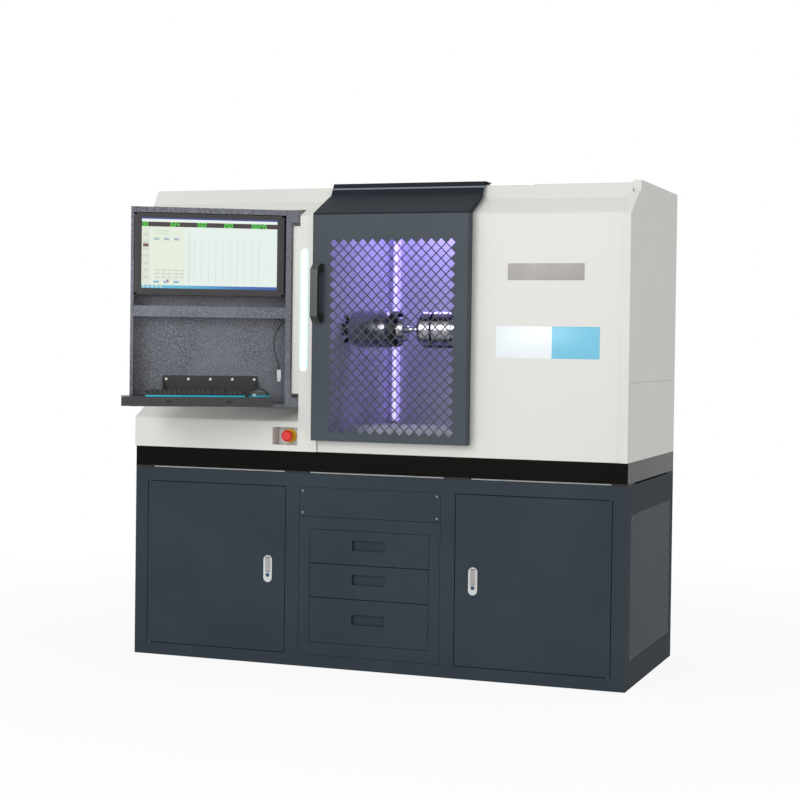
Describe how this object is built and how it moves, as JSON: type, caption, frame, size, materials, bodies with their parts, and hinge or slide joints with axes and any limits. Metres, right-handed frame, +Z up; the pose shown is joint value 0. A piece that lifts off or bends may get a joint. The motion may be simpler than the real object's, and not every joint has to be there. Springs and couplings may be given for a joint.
{
  "type": "torque tester",
  "caption": "Horizontal torsion testing machine: steel cabinet with doors and drawers, bed, test chamber with a sliding perforated safety door, chucks, and a swinging operator console.",
  "frame": {"origin": "on the floor under the centre of the cabinet's base", "axes": "+X to the machine's right, -Y its front, +Z up"},
  "size_m": [2.155, 1.3818, 2.006],
  "materials": {
    "cabinet_paint": "satin",
    "housing_paint": "satin",
    "bed_paint": "gloss",
    "console_paint": "hammered",
    "door_paint": "satin",
    "black_plastic": "matte",
    "screen_plastic": "gloss",
    "bright_steel": "brushed",
    "dark_steel": "brushed",
    "zinc": "satin",
    "cast": "painted",
    "light_plastic": "diffusing",
    "yellow_plastic": "gloss",
    "red_plastic": "gloss",
    "blue_plastic": "gloss",
    "rubber": "matte"
  },
  "bodies": {
    "machine": {"cabinet_front_frame": "cabinet_paint", "cabinet_walls": "cabinet_paint", "cabinet_decks": "cabinet_paint", "access_panels": "cabinet_paint", "panel_screws": "zinc", "door_pivot_pins": "zinc", "drawer_bank": "cabinet_paint", "control_gear": "cast", "computer": "black_plastic", "bed": "bed_paint", "bed_feet": "bed_paint", "housing_front_left": "housing_paint", "housing_front_right": "housing_paint", "housing_left_end": "housing_paint", "housing_right_end": "housing_paint", "housing_roof": "housing_paint", "housing_back": "housing_paint", "led_strip": "light_plastic", "estop_housing": "yellow_plastic", "door_track": "bright_steel", "chamber_walls": "housing_paint", "headstock": "cast", "gearmotor": "cast", "linear_guides": "dark_steel", "console_hinges": "console_paint"},
    "left_door": {"left_door": "cabinet_paint", "left_lock_plate": "zinc"},
    "left_lock_lever": {"left_lock_lever": "zinc"},
    "left_lock_cylinder": {"left_lock_cylinder": "blue_plastic"},
    "right_door": {"right_door": "cabinet_paint", "right_lock_plate": "zinc"},
    "right_lock_lever": {"right_lock_lever": "zinc"},
    "right_lock_cylinder": {"right_lock_cylinder": "blue_plastic"},
    "drawer_top": {"drawer_top": "cabinet_paint"},
    "drawer_middle": {"drawer_middle": "cabinet_paint"},
    "drawer_bottom": {"drawer_bottom": "cabinet_paint"},
    "safety_door": {"safety_door": "door_paint", "door_hood": "door_paint", "door_handle": "black_plastic", "door_shoes": "black_plastic"},
    "spindle": {"spindle": "bright_steel", "drive_chuck": "bright_steel", "specimen": "bright_steel"},
    "drive_jaw_upper": {"drive_jaw_upper": "dark_steel"},
    "drive_jaw_lower": {"drive_jaw_lower": "dark_steel"},
    "tail_carriage": {"tail_carriage": "cast", "torque_sensor": "bright_steel", "tail_chuck": "bright_steel"},
    "tail_jaw_upper": {"tail_jaw_upper": "dark_steel"},
    "tail_jaw_lower": {"tail_jaw_lower": "dark_steel"},
    "console": {"console_box": "console_paint", "monitor": "screen_plastic", "tray": "console_paint", "tray_bolts": "light_plastic", "keyboard": "black_plastic", "mouse": "black_plastic", "usb_lead": "rubber", "usb_plug": "black_plastic"},
    "stop_plunger": {"estop_stem": "black_plastic"},
    "stop_head": {"estop_mushroom": "red_plastic"}
  },
  "joints": [
    {"name": "left_door_hinge", "type": "hinge", "parent": "machine", "child": "left_door", "pos_m": [-1.008, -0.424, 0.4], "axis": [0, 0, -1], "range_deg": [0, 110]},
    {"name": "right_door_hinge", "type": "hinge", "parent": "machine", "child": "right_door", "pos_m": [1.008, -0.424, 0.4], "axis": [0, 0, 1], "range_deg": [0, 110]},
    {"name": "left_lock_pull", "type": "hinge", "parent": "left_door", "child": "left_lock_lever", "pos_m": [-0.45, -0.427, 0.436], "axis": [-1, 0, 0], "range_deg": [0, 40]},
    {"name": "right_lock_pull", "type": "hinge", "parent": "right_door", "child": "right_lock_lever", "pos_m": [0.45, -0.427, 0.436], "axis": [-1, 0, 0], "range_deg": [0, 40]},
    {"name": "left_lock_turn", "type": "hinge", "parent": "left_door", "child": "left_lock_cylinder", "pos_m": [-0.45, -0.42, 0.37], "axis": [0, -1, 0], "range_deg": [0, 90]},
    {"name": "right_lock_turn", "type": "hinge", "parent": "right_door", "child": "right_lock_cylinder", "pos_m": [0.45, -0.42, 0.37], "axis": [0, 1, 0], "range_deg": [0, 90]},
    {"name": "drawer_top_slide", "type": "slide", "parent": "machine", "child": "drawer_top", "axis": [0, -1, 0], "range_m": [0, 0.42]},
    {"name": "drawer_middle_slide", "type": "slide", "parent": "machine", "child": "drawer_middle", "axis": [0, -1, 0], "range_m": [0, 0.42]},
    {"name": "drawer_bottom_slide", "type": "slide", "parent": "machine", "child": "drawer_bottom", "axis": [0, -1, 0], "range_m": [0, 0.42]},
    {"name": "safety_door_slide", "type": "slide", "parent": "machine", "child": "safety_door", "axis": [1, 0, 0], "range_m": [0, 0.6]},
    {"name": "spindle_turn", "type": "hinge", "parent": "machine", "child": "spindle", "pos_m": [-0.2, -0.13, 1.402], "axis": [1, 0, 0], "continuous": true},
    {"name": "drive_jaw_upper_slide", "type": "slide", "parent": "spindle", "child": "drive_jaw_upper", "axis": [0, 0, 1], "range_m": [0, 0.007]},
    {"name": "drive_jaw_lower_slide", "type": "slide", "parent": "spindle", "child": "drive_jaw_lower", "axis": [0, 0, -1], "range_m": [0, 0.007]},
    {"name": "tail_carriage_slide", "type": "slide", "parent": "machine", "child": "tail_carriage", "axis": [1, 0, 0], "range_m": [0, 0.3]},
    {"name": "tail_jaw_upper_slide", "type": "slide", "parent": "tail_carriage", "child": "tail_jaw_upper", "axis": [0, 0, 1], "range_m": [0, 0.007]},
    {"name": "tail_jaw_lower_slide", "type": "slide", "parent": "tail_carriage", "child": "tail_jaw_lower", "axis": [0, 0, -1], "range_m": [0, 0.007]},
    {"name": "console_swing", "type": "hinge", "parent": "machine", "child": "console", "pos_m": [-0.331, -0.434, 1.4], "axis": [0, 0, 1], "range_deg": [-30, 60]},
    {"name": "stop_press", "type": "slide", "parent": "machine", "child": "stop_plunger", "axis": [0, 1, 0], "range_m": [0, 0.006]},
    {"name": "stop_twist", "type": "hinge", "parent": "stop_plunger", "child": "stop_head", "pos_m": [-0.3735, -0.41, 0.9515], "axis": [0, 1, 0], "range_deg": [0, 45]}
  ],
  "couplings": [
    {"joint": "drive_jaw_lower_slide", "follows": "drive_jaw_upper_slide", "ratio": 1},
    {"joint": "tail_jaw_lower_slide", "follows": "tail_jaw_upper_slide", "ratio": 1}
  ]
}
